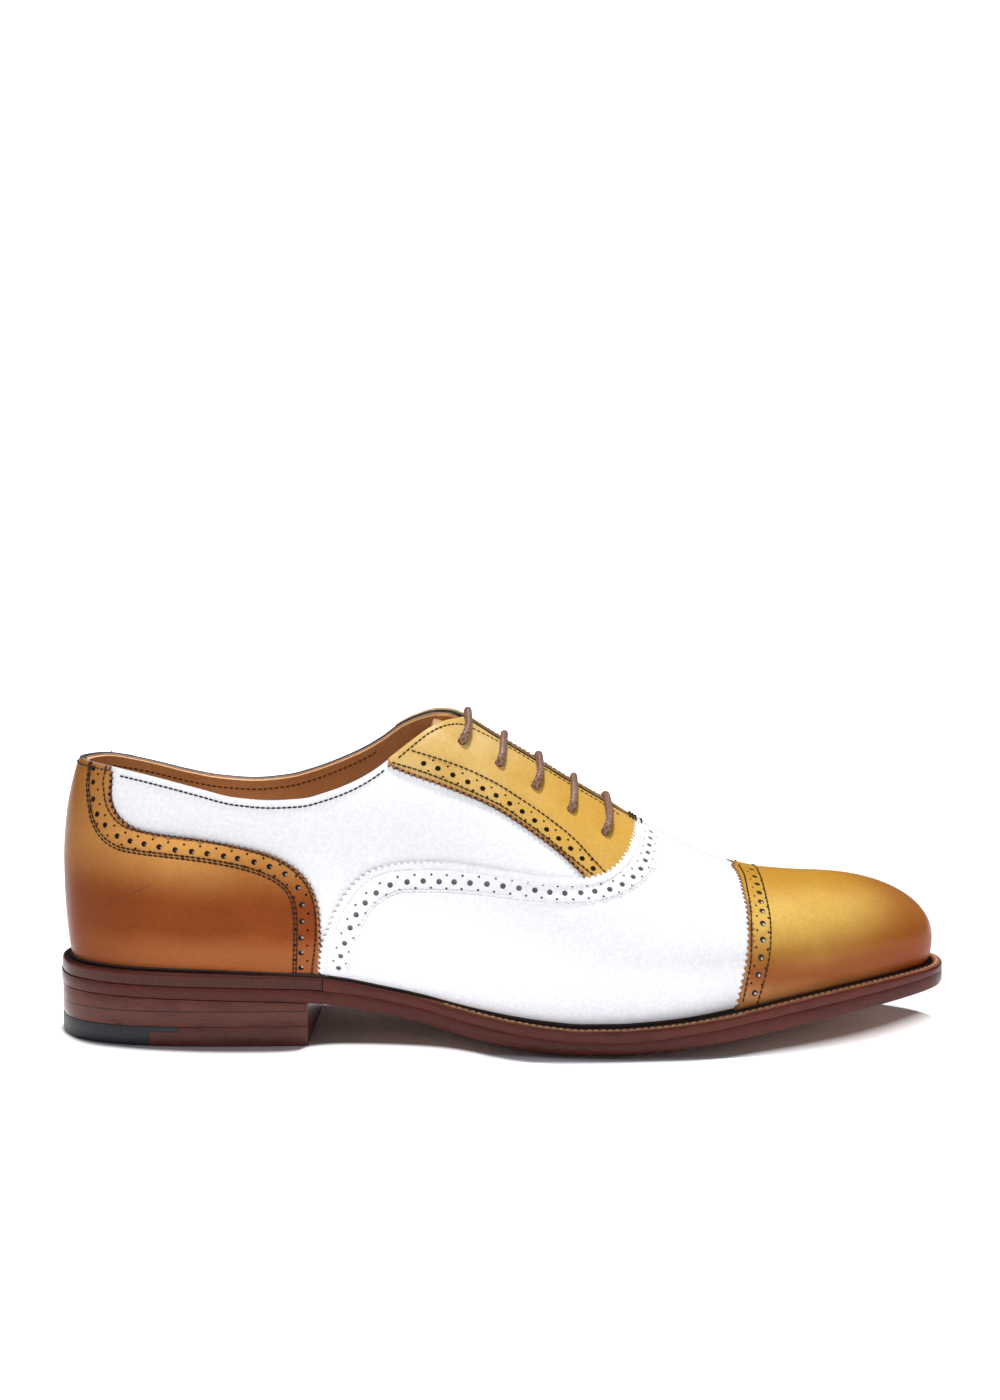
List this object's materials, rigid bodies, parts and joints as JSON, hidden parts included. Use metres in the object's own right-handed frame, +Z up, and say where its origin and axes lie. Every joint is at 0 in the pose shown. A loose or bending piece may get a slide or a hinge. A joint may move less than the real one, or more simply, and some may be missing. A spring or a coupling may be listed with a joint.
{
  "type": "spectator shoe",
  "caption": "Two-tone closed-lacing dress shoe with toe cap, heel counter and punched seams on a welted leather sole with a stacked heel.",
  "frame": {"origin": "middle of the footprint, on the floor", "axes": "+X to the toe, +Y to the inner side of this right shoe, +Z up"},
  "size_m": [0.3064, 0.0958, 0.1107],
  "materials": {
    "white_leather": "smooth semi-gloss calf",
    "tan_leather": "polished calf",
    "burnished_leather": "polished calf, darkened toward the sole",
    "tongue_leather": "matt",
    "sock_leather": "matt",
    "welt_leather": "stained, semi-matt",
    "sole_leather": "waxed edge",
    "heel_rubber": "matt",
    "waxed_cord": "waxed, round"
  },
  "bodies": {
    "root": {"upper": "white_leather", "toe_cap": "tan_leather", "heel_counter": "burnished_leather", "tongue": "tongue_leather", "insole": "sock_leather", "welt": "welt_leather", "heel_rand": "sole_leather", "outsole": "sole_leather", "heel_stack": "sole_leather", "top_lift": "sole_leather", "heel_tip": "heel_rubber", "lace_bar_1": "waxed_cord", "lace_bar_2": "waxed_cord", "lace_bar_3": "waxed_cord", "lace_bar_4": "waxed_cord", "lace_bar_5": "waxed_cord"}
  },
  "joints": []
}
